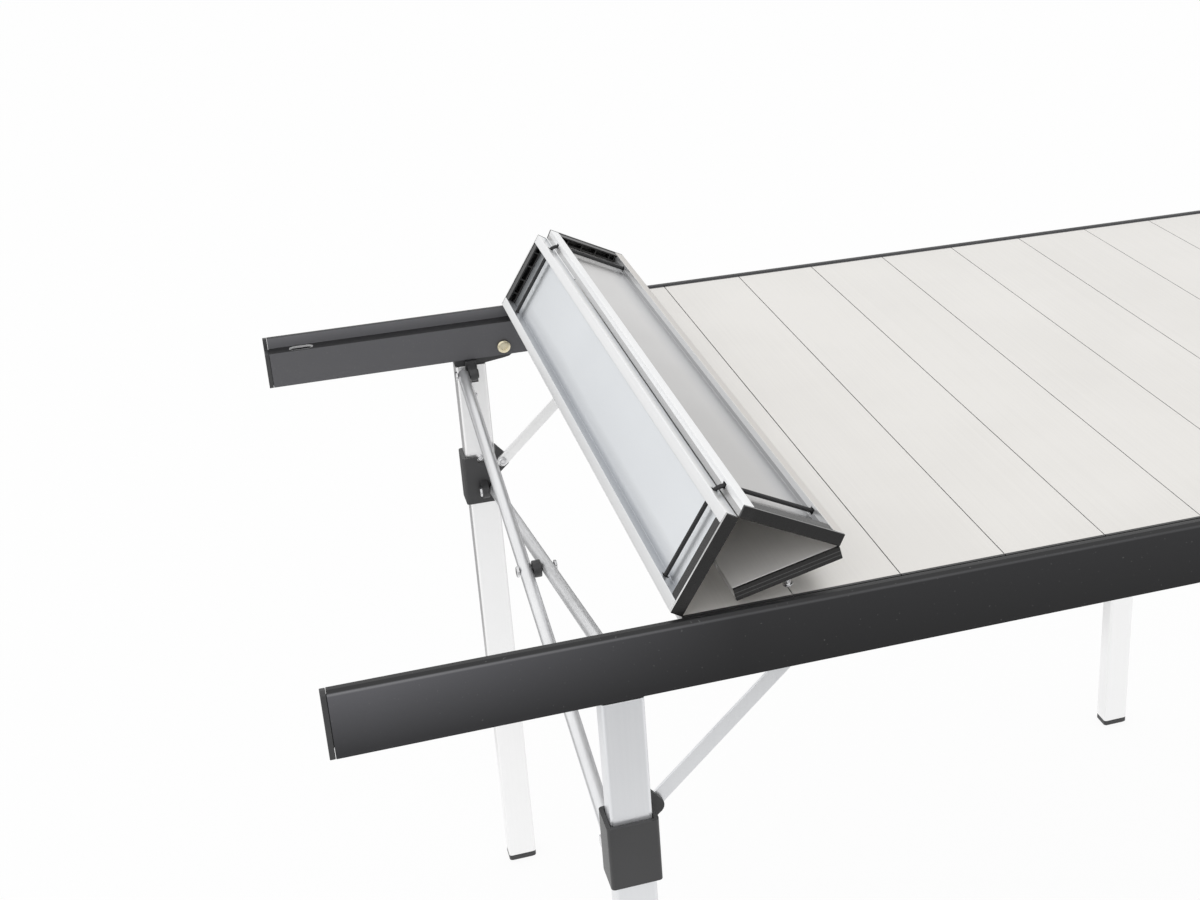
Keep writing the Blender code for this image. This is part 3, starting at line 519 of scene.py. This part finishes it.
def slat_finish(name, number):
    """Satin top, bright flanges and duller mill metal underneath, with painted light and shade below;
    black where the cap covers the end.
    """
    finish = Finish(name)
    edge, along, normal = slat_frame(number)
    leans_right = number == 2
    brush = finish.noise(600, 2, (1, 0.004, 1))
    clouds = finish.noise(5, 3)
    satin = finish.range(brush * 0.3 + clouds * 0.7, 0.4, 0.6)
    facing = finish.along("Normal", normal)
    upper = facing > 0.9
    depth = edge.dot(normal) - finish.along("Object", normal)
    across = finish.along("Object", along) - edge.dot(along)
    across = across.math("FLOORED_MODULO", across, SLAT_PITCH)
    from_lower = abs(across - (SLAT_PITCH if leans_right else 0.0))
    cap = abs(finish.along("Object", (0, 1, 0))) > CAP_START
    warm = 0.006 if number in ROLLED else 0.012
    top = finish.blend(satin, tone(0.745 + warm, 0.739, 0.734 - 2 * warm),
                       tone(0.785 + warm, 0.779, 0.774 - 2 * warm))

    # Painted light and shade: each rolled slat's mill metal gets its own lighter or darker tone.
    lit_mill_tone, cool, reach, flange_shade_strength = MILL_METAL.get(number, PLAIN_MILL_METAL)
    # Painted light: the mill metal grows lighter towards one end of the slat, mottled by clouds.
    painted_light_along = finish.along("Object", (0, -1 if leans_right else 1, 0)) + 0.3 * clouds
    web = finish.blend(finish.range(painted_light_along, 0.4, -0.2),
                       tone(lit_mill_tone - 0.05 - cool, lit_mill_tone - 0.05, lit_mill_tone - 0.05 + cool),
                       tone(lit_mill_tone + 0.09 - cool, lit_mill_tone + 0.09, lit_mill_tone + 0.09 + cool))
    # Painted shade: the mill metal darkens along the lower flange.
    painted_flange_shade = finish.range(from_lower + 0.01 * clouds, reach, reach - 0.018) * flange_shade_strength
    web = finish.blend(painted_flange_shade, web, tone(0.46, 0.475, 0.50))

    flange = finish.blend(satin, tone(0.89, 0.895, 0.90), tone(0.93, 0.935, 0.94))
    between = abs(across - SLAT_PITCH / 2) < SLAT_PITCH / 2 - FLANGE_WALL
    inside = (abs(finish.along("Normal", along)) > 0.7) * between
    # Painted light and shade: the flanges' inner walls are lighter on slat 2 and darker on the others.
    painted_inner_wall_tone = tone(0.88, 0.885, 0.89) if leans_right else tone(0.56, 0.575, 0.595)
    flange = finish.blend(inside, flange, painted_inner_wall_tone)
    if leans_right:
        # Painted shade: the foot of slat 2's lower flange is painted a darker, warmer grey.
        foot = (from_lower < FLANGE_FOOT) * (facing < -0.7)
        flange = finish.blend(foot, flange, tone(0.62, 0.595, 0.565))

    # The recess of the web is darker than the flanges: partly a duller finish, partly painted shade.
    below = finish.blend(depth > WEB_DEPTH, web, flange)
    metal = finish.blend(upper, below, top)
    finish.shade(
        base_color=finish.blend(cap, metal, tone(0.026, 0.026, 0.027)),
        roughness=finish.range(clouds, 0.3, 0.7, 0.28, 0.34) + 0.06 * brush * upper,
        metallic=(1 - cap) * (0.75 - 0.3 * upper))
    return finish


PLATE_START = 0.3403
RIM_START = 0.3382
GROOVE_HALF = 0.0003
UPPER_GROOVE = 0.0034
LOWER_GROOVE = 0.0066


def cap_finish(name, number, painted_highlight):
    """Glossy black moulding with a painted highlight along its lower rim; two fine grooves on the first
    slat's.
    """
    finish = Finish(name)
    edge, _, normal = slat_frame(number)
    from_middle = abs(finish.along("Object", (0, 1, 0)))
    grain = finish.noise(900, 2)
    scuffs = finish.range(finish.noise(60, 4), 0.55, 0.75)
    colour = finish.blend(scuffs, tone(0.011, 0.0105, 0.0105), tone(0.018, 0.0175, 0.0175))
    relief = grain * 0.1
    if painted_highlight:
        # Painted highlight: a bright line along the cap's lower rim, stronger on the outer rolled slat.
        rim = (finish.along("Normal", normal) < -0.6) * (from_middle > RIM_START) * painted_highlight
        patches = finish.range(finish.noise(24, 3), 0.3, 0.6, 0.5, 1.0)
        colour = finish.blend(rim * patches, colour, tone(0.85))
    if number == 1:
        depth = edge.dot(normal) - finish.along("Object", normal)
        grooves = (abs(depth - UPPER_GROOVE) < GROOVE_HALF) + (abs(depth - LOWER_GROOVE) < GROOVE_HALF)
        grooves = grooves * (from_middle > PLATE_START)
        colour = finish.blend(grooves * finish.range(scuffs, 0, 1, 0.4, 0.9), colour, tone(0.14))
        relief = relief - grooves
    finish.shade(
        base_color=colour, roughness=finish.range(grain, 0.3, 0.7, 0.26, 0.36),
        normal=finish.bump(relief, 0.4, 0.0003))
    return finish


flat_slat = slat_finish("satin_slat", SLATS)
for number in range(1, SLATS + 1):
    finish = slat_finish(f"satin_slat_{number:02d}", number) if number in ROLLED else flat_slat
    dress(f"slat_{number:02d}", finish, 0.0004)
# How strong each slat's painted highlight along the cap rim is.
for number, painted_highlight in ((1, 0.0), (2, 0.25), (3, 0.9)):
    finish = cap_finish(f"slat_{number:02d}_cap_plastic", number, painted_highlight)
    for side in SIDES:
        dress(f"slat_{number:02d}_{side}_cap", finish, 0.0008)

# The elastic cords: two black braided cords that run under the deck through holes in every flange
# and end in knots inside the outer slats. They're held taut all the way.
CORD_Y = 0.2955
CORD_DEPTH = 0.0053
CORD_RADIUS = 0.00175
black_cord = Finish("black_braided_cord")
spot = black_cord.node("ShaderNodeTexCoord", output="Object")
braid = black_cord.node("ShaderNodeTexWave", {"bands_direction": "DIAGONAL"}, {
    "Vector": spot, "Scale": 260.0, "Distortion": 1.5})
black_cord.shade(
    base_color=black_cord.blend(braid, tone(0.012, 0.012, 0.013), tone(0.032, 0.032, 0.034)),
    roughness=black_cord.range(braid, 0, 1, 0.55, 0.75), normal=black_cord.bump(braid, 0.3, 0.0003))


def under_slat(number, from_right, y, depth=CORD_DEPTH):
    """A point below a slat's top, by its distance from the slat's right edge."""
    edge, along, normal = slat_frame(number)
    return edge + along * from_right - normal * depth + Vector((0, y, 0))


def cord_length(name, points):
    """A length of cord along these points, as a mesh tube."""
    bpy.ops.object.select_all(action="DESELECT")
    curve = bpy.data.curves.new(name, "CURVE")
    curve.dimensions = "3D"
    spline = curve.splines.new("BEZIER")
    spline.bezier_points.add(len(points) - 1)
    for knot, point in zip(spline.bezier_points, points):
        knot.co = point
        knot.handle_left_type = knot.handle_right_type = "AUTO"
    spline.resolution_u = 3
    curve.bevel_depth = CORD_RADIUS
    curve.bevel_resolution = 3
    curve.use_fill_caps = True
    piece = bpy.data.objects.new(name, curve)
    scene.collection.objects.link(piece)
    piece.select_set(True)
    bpy.context.view_layer.objects.active = piece
    bpy.ops.object.convert(target="MESH")
    piece = take(name, black_cord)
    bpy.ops.object.shade_smooth_by_angle(angle=math.radians(50))
    return piece


HALF_STEPS = (SLAT_PITCH / 2, 0.030, 0.018, 0.010, 0.0015)
TAILS = ((1, (SLAT_PITCH / 2, 0.055, 0.0690), 1), (SLATS, (SLAT_PITCH / 2, 0.030, 0.0156), -1))
TAIL_DEPTHS = (CORD_DEPTH, 0.0055, 0.0058)
KNOT_GRIP = 0.002
KNOT_STEPS = ((0.0, 0.0016), (0.0006, 0.0027), (0.0018, 0.0033), (0.0030, 0.0034), (0.0042, 0.0031),
              (0.0052, 0.0022), (0.0056, 0.0010))
for side, outward in SIDES.items():
    y = outward * CORD_Y
    for number in range(1, SLATS):
        points = [under_slat(number, step, y) for step in HALF_STEPS]
        points += [under_slat(number + 1, SLAT_PITCH - step, y) for step in reversed(HALF_STEPS)]
        stretch = cord_length(f"{side}_cord_{number:02d}", points)
        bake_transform(stretch)
    for number, run, way in TAILS:
        body = f"slat_{number:02d}"
        points = [under_slat(number, step, y, depth) for step, depth in zip(run, TAIL_DEPTHS)]
        tail_end = cord_length(f"{side}_cord_end_{number:02d}", points)
        tail_way = slat_frame(number)[1] * way
        knot = turned(f"{side}_cord_knot_{number:02d}", KNOT_STEPS, points[2] - tail_way * KNOT_GRIP,
                      tail_way, black_cord, 20)
        for piece in (tail_end, knot):
            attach(piece, body)

# The locating pins: turned steel, one near each end of the first and last slats.
for side in SIDES:
    for end in ENDS:
        dress(f"{end}_{side}_locating_pin", bright_steel, 0.0003)
